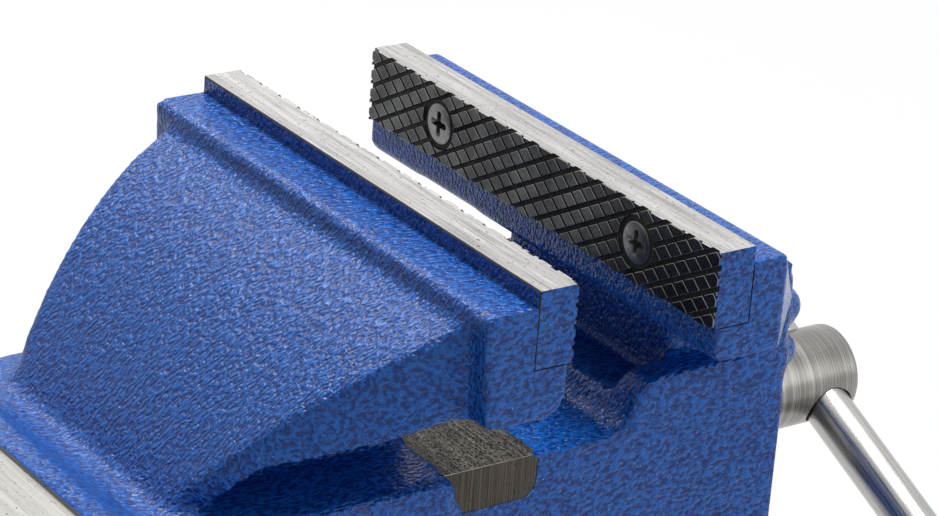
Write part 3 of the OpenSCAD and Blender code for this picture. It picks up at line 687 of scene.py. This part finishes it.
def edge_file():
    """Square bars turned by 45 degrees that break both long edges of the slide."""
    bm = bmesh.new()
    for side in (1, -1):
        verts = add_box(bm, (slide_low.x - 5 * MM, -2 * MM, -2 * MM), (MILLED_TO_X, 2 * MM, 2 * MM))
        bmesh.ops.rotate(bm, cent=(0, 0, 0), matrix=Matrix.Rotation(math.radians(45), 3, "X"), verts=verts)
        reach = 2 * math.sqrt(2) * MM - 0.25 * MM
        bmesh.ops.translate(bm, vec=(0, side * (slide_half + reach / 2), slide_top + reach / 2), verts=verts)
    return bm


machine(moving, seat_tool(moving_high.x, moving_low.x - 5 * MM), BORED)
slide_top_tool = painted_end(box_of((slide_low.x - 5 * MM, -slide_half - 6 * MM, slide_top - 0.05 * MM),
                                    (MILLED_TO_X, slide_half + 6 * MM, slide_top + 6 * MM)))
machine(moving, slide_top_tool, SLIDE_TOP, ENAMEL)
machine(moving, slide_side_tools(), SLIDE_SIDE, ENAMEL)
machine(moving, edge_file(), SCREW_STEEL)
machine(moving, box_of((slide_low.x - 5 * MM, -channel_half, slide_low.z - 5 * MM),
                       (front_wall_x, channel_half, channel_z)), NUT_IRON)
moving_holes = bmesh.new()
screw_holes(moving_holes, moving_low.x, 1)
add_rod(moving_holes, (front_wall_x - 5 * MM, 0, screw_z), (slide_high.x + 10 * MM, 0, screw_z),
        screw_r + 0.05 * MM)
add_box(moving_holes, (boss_x - 0.1 * MM, -30 * MM, screw_z - 30 * MM),
        (boss_x + 8 * MM, 30 * MM, screw_z + 30 * MM))
machine(moving, moving_holes, BORED)
settle(moving, "jaw", "blue_paint", "sliding_jaw")

# %% [markdown]
# The swivel base is cast too: a ring with four lugs and two curved slots. It is a plain form without
# machined faces that show, so it gets a coarser skin and one more pass of smoothing.

# %% Swivel base, cast
base = cast("base_casting", cast_stock("swivel_base"), 1.5 * MM, passes=3)
settle(base, "base", "blue_paint", "swivel_base")

# %% [markdown]
# A jaw plate is one bar of steel with several finishes. Its toothed face is blackened, with a worn bright
# line along each tooth. Its top is ground after that, and its ends and back were painted with the casting.
# The grooves are those of the CAD model, which are cut at the real depth. The zones are told apart by place.

# %% Jaw plates
# The places of a plate's finishes in its list of materials
TOOTH, TOP, PAINTED, SHADED_GROOVE, WORN = range(5)
SEAT_R = head_out_r + 1.3 * MM
RIM_WIDE = 0.18 * MM
RIM_DEEP = 0.1 * MM


def is_tooth_face(face, face_x):
    """Whether a face lies in the plane of the teeth."""
    return abs(face.calc_center_median().x - face_x) < 0.05 * MM and abs(face.normal.x) > 0.95


def jaw_plate(name, node, body, face_x, outward):
    """A toothed plate with worn edges, screw seats and its zones of finish."""
    piece = into_object(name, copy_of_node(node), TEETH, GROUND, ENAMEL, GROOVE_SHADE, WORN_EDGE)
    seats = bmesh.new()
    for side in (1, -1):
        middle = Vector((face_x, side * screw_y, (seat_z + jaw_top) / 2))
        way = Vector((outward * MM, 0, 0))
        add_rod(seats, middle - 0.7 * way, middle + 2 * way, SEAT_R)
    # The seats round the screws are near black, as painted shade
    machine(piece, seats, GROOVE_SHADE)
    bm = bmesh.new()
    bm.from_mesh(piece.data)
    bmesh.ops.dissolve_limit(bm, angle_limit=math.radians(1), verts=bm.verts, edges=bm.edges)
    back_x = face_x - outward * (plate_high.x - plate_low.x)
    for face in bm.faces:
        middle = face.calc_center_median()
        if face.normal.z > 0.9 and middle.z > jaw_top - 0.1 * MM:
            face.material_index = TOP
        elif abs(face.normal.y) > 0.9 and abs(middle.y) > jaw_half - 0.1 * MM:
            face.material_index = PAINTED
        elif abs(middle.x - back_x) < 0.1 * MM:
            face.material_index = PAINTED
        elif is_tooth_face(face, face_x):
            face.material_index = TOOTH
        else:
            face.material_index = SHADED_GROOVE
    wear_edges(bm, [face for face in bm.faces if face.material_index == TOOTH], outward)
    # A near-black bevel along the seams of the painted ends: painted shade between plate and casting
    ease_edges(bm, [edge for edge in steep_edges(bm, 60) if is_seam(edge, back_x)], 0.35 * MM, segments=1,
               material=SHADED_GROOVE, clamp=False)
    bm.to_mesh(piece.data)
    bm.free()
    return settle(piece, body, "black_steel", node, crease=20)


def wear_edges(bm, teeth, outward):
    """Sinks a narrow rim round every tooth a little, and gives it the worn finish."""
    rims = bmesh.ops.inset_individual(bm, faces=teeth, thickness=RIM_WIDE, use_even_offset=False)["faces"]
    tops = {vert for face in teeth for vert in face.verts}
    for vert in {vert for face in rims for vert in face.verts} - tops:
        vert.co.x -= outward * RIM_DEEP
    for face in rims:
        face.material_index = WORN


def is_seam(edge, back_x):
    """Whether an edge of the plate's painted ends lies against the casting."""
    kinds = {face.material_index for face in edge.link_faces}
    ends = all(abs(vert.co.y) > jaw_half - 0.01 * MM for vert in edge.verts)
    back = all(abs(vert.co.x - back_x) < 0.1 * MM for vert in edge.verts)
    return PAINTED in kinds and ends and (back or all(vert.co.z < seat_z + 0.1 * MM for vert in edge.verts))


jaw_plate("fixed_toothed_plate", "fixed_jaw_plate", "vise_body", plate_high.x, 1)
jaw_plate("moving_toothed_plate", "moving_jaw_plate", "jaw", moving_low.x, -1)

# %% [markdown]
# Each plate screw is turned: a countersunk head with a small rim, and a shank. Then the cross recess is
# punched: two tapered arms that cross, with rounded ends.

# %% Plate screws


def cross_arm(face_x, outward, y, turned_up):
    """One arm of a cross recess, narrower at its bottom."""
    bm = bmesh.new()
    long, wide, deep = 8.8 * MM, 2.2 * MM, 2.4 * MM
    size = (2 * deep, wide, long) if turned_up else (2 * deep, long, wide)
    verts = add_box(bm, [-part / 2 for part in size], [part / 2 for part in size])
    for vert in verts:
        if vert.co.x * outward < 0:
            vert.co.y *= 0.6
            vert.co.z *= 0.6
    rims = [edge for edge in bm.edges if abs(edge.verts[0].co.x - edge.verts[1].co.x) > deep]
    ease_edges(bm, rims, 0.6 * MM, segments=4)
    bmesh.ops.translate(bm, vec=(face_x, y, (seat_z + jaw_top) / 2), verts=bm.verts)
    return bm


def plate_screws(name, node, body, face_x, outward):
    """Both countersunk screws of a plate."""
    shank_r = 3 * MM
    sink = head_out_r - shank_r
    reach = heads_high.x - heads_low.x
    outline = [(0.25 * MM, 0), (0.25 * MM, head_out_r - 0.7 * MM), (0.45 * MM, head_out_r - 0.3 * MM),
               (0.75 * MM, head_out_r - 0.35 * MM), (sink, shank_r), (reach - 1 * MM, shank_r),
               (reach, shank_r - 1 * MM), (reach, 0)]
    bm = bmesh.new()
    for side in (1, -1):
        add_turned(bm, outline, (face_x, side * screw_y, (seat_z + jaw_top) / 2), (-outward, 0, 0), sides=64)
    piece = into_object(name, bm, SCREW_STEEL)
    for side in (1, -1):
        for turned_up in (True, False):
            machine(piece, cross_arm(face_x, outward, side * screw_y, turned_up), SCREW_STEEL)
    settle(piece, body, "screw_steel", node, crease=30)


plate_screws("fixed_plate_screw_pair", "fixed_plate_screws", "vise_body", plate_high.x, 1)
plate_screws("moving_plate_screw_pair", "moving_plate_screws", "jaw", moving_low.x, -1)

# %% [markdown]
# The screw is the one moving part that everyone looks for. Its thread is a ridge of trapezoidal section
# wound round a core, one turn for every five millimetres, so that a turn of the handle really is a step of
# the jaw. The plain part runs in the front wall, and the head is turned with a rim and two fine grooves.

# %% Screw
LEAD = 5 * MM
THREAD_DEEP = 2.1 * MM


def add_thread(bm, from_x, to_x, root_r, crest_r, steps=48):
    """A right-handed trapezoidal ridge round the screw's axis, closed at both ends."""
    # Each corner of the ridge: its place along the axis as a share of the lead, and its radius
    section = ((-0.36, root_r - 0.3 * MM), (-0.17, crest_r), (0.17, crest_r), (0.36, root_r - 0.3 * MM))
    rings = []
    for i in range(int((to_x - from_x) / LEAD * steps) + 1):
        angle = math.tau * i / steps
        x = from_x + LEAD * i / steps
        rings.append([bm.verts.new((x + along * LEAD, r * math.cos(angle), screw_z + r * math.sin(angle)))
                      for along, r in section])
    for first, second in zip(rings, rings[1:]):
        for k in range(len(section)):
            after = (k + 1) % len(section)
            bm.faces.new((first[k], first[after], second[after], second[k]))
    bm.faces.new(rings[0])
    bm.faces.new(reversed(rings[-1]))


def spindle():
    """The screw's core with its head, and the thread's ridge as a piece of its own."""
    root_r = screw_r - THREAD_DEEP
    thread_end = collar_low.x - 2 * MM
    head_x = thrust_high.x
    end_x = screw_high.x
    core = bmesh.new()
    outline = [(0, 0), (0, root_r - 1.5 * MM), (1.5 * MM, root_r), (thread_end - screw_low.x, root_r),
               (thread_end - screw_low.x + 2 * MM, screw_r), (head_x - screw_low.x, screw_r)]
    step = head_x - screw_low.x
    outline += [(step, head_r - 0.8 * MM), (step + 0.8 * MM, head_r)]
    for groove in (5, 8):
        outline += [(step + groove * MM, head_r), (step + (groove + 0.5) * MM, head_r - 0.5 * MM),
                    (step + (groove + 1) * MM, head_r)]
    tip = end_x - screw_low.x
    outline += arc((tip - 1.5 * MM, head_r - 1.5 * MM), 1.5 * MM, 0, 90, steps=5)
    outline += [(tip, head_r - 7 * MM), (tip - 0.3 * MM, head_r - 7.3 * MM), (tip - 0.3 * MM, 0)]
    add_turned(core, outline, (screw_low.x, 0, screw_z), (1, 0, 0), sides=128)
    piece = into_object("spindle_core", core, TURNED)
    hole = bmesh.new()
    bar_middle = Vector(((bar_low.x + bar_high.x) / 2, 0, screw_z))
    add_turned(hole, [(-30 * MM, 0), (-30 * MM, bar_r + 3 * MM), (-head_r + 0.2 * MM, bar_r + 0.9 * MM),
                      (-head_r + 1.4 * MM, bar_r + 0.1 * MM), (head_r - 1.4 * MM, bar_r + 0.1 * MM),
                      (head_r - 0.2 * MM, bar_r + 0.9 * MM), (30 * MM, bar_r + 3 * MM), (30 * MM, 0)],
               bar_middle, bar_way, sides=64)
    machine(piece, hole, BORED)
    settle(piece, "screw", "bright_steel", "spindle", crease=30)
    ridge = bmesh.new()
    add_thread(ridge, screw_low.x + 4 * MM, thread_end - 2 * MM, root_r, screw_r)
    bmesh.ops.recalc_face_normals(ridge, faces=ridge.faces)
    settle(into_object("spindle_thread", ridge, TURNED), "screw", "bright_steel", crease=30)


spindle()

# %% [markdown]
# The handle bar is drawn steel, polished by hands. Each knob is a turned drum with a rounded face and a
# rolled-over lip, where it was pressed on.

# %% Handle


def handle():
    """The bar from knob to knob, and both knobs."""
    knob_r = (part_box("handle_knob_far")[1].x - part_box("handle_knob_far")[0].x) / 2
    far, near = middle_of("handle_knob_far"), middle_of("handle_knob_near")
    bar = bmesh.new()
    length = (near - far).length
    add_turned(bar, [(0, 0), (0, bar_r), (length, bar_r), (length, 0)], far, bar_way, sides=96)
    settle(into_object("polished_bar", bar, DRAWN), "handle", "bright_steel", "handle_bar", crease=30)
    # Half a knob's length; its outline runs from the open end to the rounded face
    half = 7.5 * MM
    for name, place, way in (("handle_knob_far", far, -bar_way), ("handle_knob_near", near, bar_way)):
        knob = bmesh.new()
        outline = [(-half, 0), (-half, bar_r + 0.2 * MM)]
        outline += [(-half, knob_r - 1.6 * MM), (-half + 1.6 * MM, knob_r - 0.2 * MM)]
        outline += [(-half + 3 * MM, knob_r - 0.2 * MM), (-half + 3.4 * MM, knob_r - 0.7 * MM)]
        outline += [(-half + 3.8 * MM, knob_r)]
        outline += arc((half - 4 * MM, knob_r - 4 * MM), 4 * MM, 0, 90)
        outline += [(half, knob_r - 7 * MM), (half - 0.4 * MM, knob_r - 7.4 * MM), (half - 0.4 * MM, 0)]
        add_turned(knob, outline, place, way, sides=96)
        settle(into_object("turned_" + name, knob, TURNED_KNOB), "handle", "bright_steel", name, crease=30)


handle()

# %% [markdown]
# The rest of the metalwork keeps its CAD shape. What a CAD solid lacks is the small chamfer that every
# turned or milled edge has, which catches the light as a thin line, so each of them gets one. Its width
# goes with the part: a bolt's is most of a millimetre, a washer's a third of one.

# %% Small metalwork
# Body, slot, finish, width of the chamfer in millimetres, nodes
SMALL_PARTS = [
    ("base", "zinc", ZINC, 0.8, ("centre_bolt", "centre_nut")),
    ("base", "zinc", ZINC, 0.3, ("centre_washer",)),
    ("vise_body", "zinc", ZINC, 0.8, ("lock_studs",)),
    ("vise_body", "zinc", ZINC, 0.3, ("lock_washers",)),
    ("vise_body", "nut_iron", NUT_IRON, 1.0, ("lead_nut",)),
    ("vise_body", "black_bolt", OXIDE, 0.5, ("lead_nut_bolt",)),
    ("screw", "zinc", ZINC, 0.3, ("thrust_washer", "keeper_washer", "keeper_pin")),
    ("screw", "black_bolt", OXIDE, 0.8, ("keeper_collar",)),
    ("left_lock", "bright_steel", TURNED_UPRIGHT, 0.3, ("lock_nut_left",)),
    ("right_lock", "bright_steel", TURNED_UPRIGHT, 0.3, ("lock_nut_right",)),
    ("left_lock_bar", "bright_steel", DRAWN_LEVEL, 0.3, ("lock_bar_left",)),
    ("right_lock_bar", "bright_steel", DRAWN_LEVEL, 0.3, ("lock_bar_right",)),
    ("left_lock_bar", "bright_steel", TURNED, 0.3, ("lock_knobs_left",)),
    ("right_lock_bar", "bright_steel", TURNED, 0.3, ("lock_knobs_right",)),
]


def chamfered(node, body, slot, finish, width):
    """A copy of a CAD node whose steep edges are broken."""
    bm = copy_of_node(node)
    bmesh.ops.dissolve_limit(bm, angle_limit=math.radians(1), verts=bm.verts, edges=bm.edges)
    ease_edges(bm, steep_edges(bm), width)
    settle(into_object("chamfered_" + node, bm, finish), body, slot, node, crease=30)


for body, slot, finish, width, nodes in SMALL_PARTS:
    for node in nodes:
        chamfered(node, body, slot, finish, width * MM)

# %% [markdown]
# The photograph was taken with a long lens from above and to the left of the handle. The camera was solved
# from the edges of both jaws, so its place and its turn are known in the frame's own coordinates.

# %% Camera
CAMERA_PLACE = Vector((-0.3915, -0.6695, 0.5271))
CAMERA_AZIMUTH = math.radians(36)
CAMERA_DIP = math.radians(23.2)
CAMERA_ROLL = math.radians(4.4)
CAMERA_LENS = 138.5

camera_data = bpy.data.cameras.new("camera")
camera_data.lens = CAMERA_LENS
camera_data.sensor_width = 36
camera = bpy.data.objects.new("camera", camera_data)
bpy.context.scene.collection.objects.link(camera)
camera.location = CAMERA_PLACE
ahead = Vector((math.sin(CAMERA_AZIMUTH) * math.cos(CAMERA_DIP),
                math.cos(CAMERA_AZIMUTH) * math.cos(CAMERA_DIP), -math.sin(CAMERA_DIP)))
camera.rotation_mode = "QUATERNION"
roll = Matrix.Rotation(CAMERA_ROLL, 3, "Z")
camera.rotation_quaternion = (ahead.to_track_quat("-Z", "Y").to_matrix() @ roll).to_quaternion()
bpy.context.scene.camera = camera

# %% [markdown]
# The setting is a white sheet under soft lamps. The floor is pale and takes the vise's shadow. Most of what
# the camera sees of it is its own plain white, so that no lamp has to be turned up to bleach it.

# %% Floor and background


def white_sheet():
    """Pale paper that shows mostly its own white, and still takes a shadow."""
    sheet = Finish("white_sheet", Metallic=0.0, Roughness=0.8)
    grain = sheet.noise(60, detail=3)
    sheet.drive("Base Color", sheet.mix(grain, (0.86, 0.86, 0.86), (0.9, 0.9, 0.9)))
    tree = sheet.material.node_tree
    rays = tree.nodes.new("ShaderNodeLightPath").outputs
    seen = sheet.sum("MAXIMUM", rays["Is Camera Ray"], rays["Is Glossy Ray"])
    glow = tree.nodes.new("ShaderNodeEmission")
    blend = tree.nodes.new("ShaderNodeMixShader")
    own_white = 0.88
    tree.links.new(sheet.sum("MULTIPLY", seen, own_white), blend.inputs["Fac"])
    tree.links.new(sheet.shader.outputs["BSDF"], blend.inputs[1])
    tree.links.new(glow.outputs["Emission"], blend.inputs[2])
    tree.links.new(blend.outputs["Shader"], tree.nodes["Material Output"].inputs["Surface"])
    return sheet.material


floor_bm = bmesh.new()
bmesh.ops.create_grid(floor_bm, x_segments=8, y_segments=8, size=6)
into_object("floor", floor_bm, white_sheet())

world = bpy.data.worlds.new("studio")
bpy.context.scene.world = world
world.use_nodes = True
world_nodes = world.node_tree.nodes
world_links = world.node_tree.links
sky = world_nodes["Background"]
sky.inputs["Color"].default_value = (1, 1, 1, 1)
rays = world_nodes.new("ShaderNodeLightPath")


def world_sum(operation, first, second):
    """One arithmetic step in the world's graph."""
    node = world_nodes.new("ShaderNodeMath")
    node.operation = operation
    for socket, value in ((node.inputs[0], first), (node.inputs[1], second)):
        if isinstance(value, bpy.types.NodeSocket):
            world_links.new(value, socket)
        else:
            socket.default_value = value
    return node.outputs[0]


# The world is white to the camera and in reflections, and lights the vise with this share of it
SKY_LIGHT = 0.2
shown = world_sum("MAXIMUM", rays.outputs["Is Camera Ray"],
                  world_sum("MAXIMUM", rays.outputs["Is Glossy Ray"], rays.outputs["Is Transmission Ray"]))
strength = world_sum("ADD", SKY_LIGHT, world_sum("MULTIPLY", shown, 1 - SKY_LIGHT))
world_links.new(strength, sky.inputs["Strength"])

# %% [markdown]
# Three large lamps light it softly. The one behind the vise is mirrored by the hood and the plates' tops and
# gives them their sheen. The one overhead throws the near jaw's shadow into the gap. The weak one at the
# right lifts the side with the handle.

# %% Lamps


def soft_lamp(name, place, aim, size, power):
    """A square area lamp that points at aim."""
    data = bpy.data.lights.new(name, "AREA")
    data.shape = "SQUARE"
    data.size = size
    data.energy = power
    lamp = bpy.data.objects.new(name, data)
    bpy.context.scene.collection.objects.link(lamp)
    lamp.location = place
    lamp.rotation_mode = "QUATERNION"
    lamp.rotation_quaternion = (Vector(aim) - Vector(place)).to_track_quat("-Z", "Y")


VISE_MIDDLE = (0.05, 0, 0.15)
soft_lamp("lamp_behind", (0.14, 0.88, 1.03), VISE_MIDDLE, size=0.5, power=8)
soft_lamp("lamp_overhead", (0.36, 0.05, 1.28), VISE_MIDDLE, size=0.45, power=10)
soft_lamp("lamp_at_the_right", (0.75, -1.0, 0.75), VISE_MIDDLE, size=0.9, power=4)

bpy.context.scene.view_settings.view_transform = "Standard"
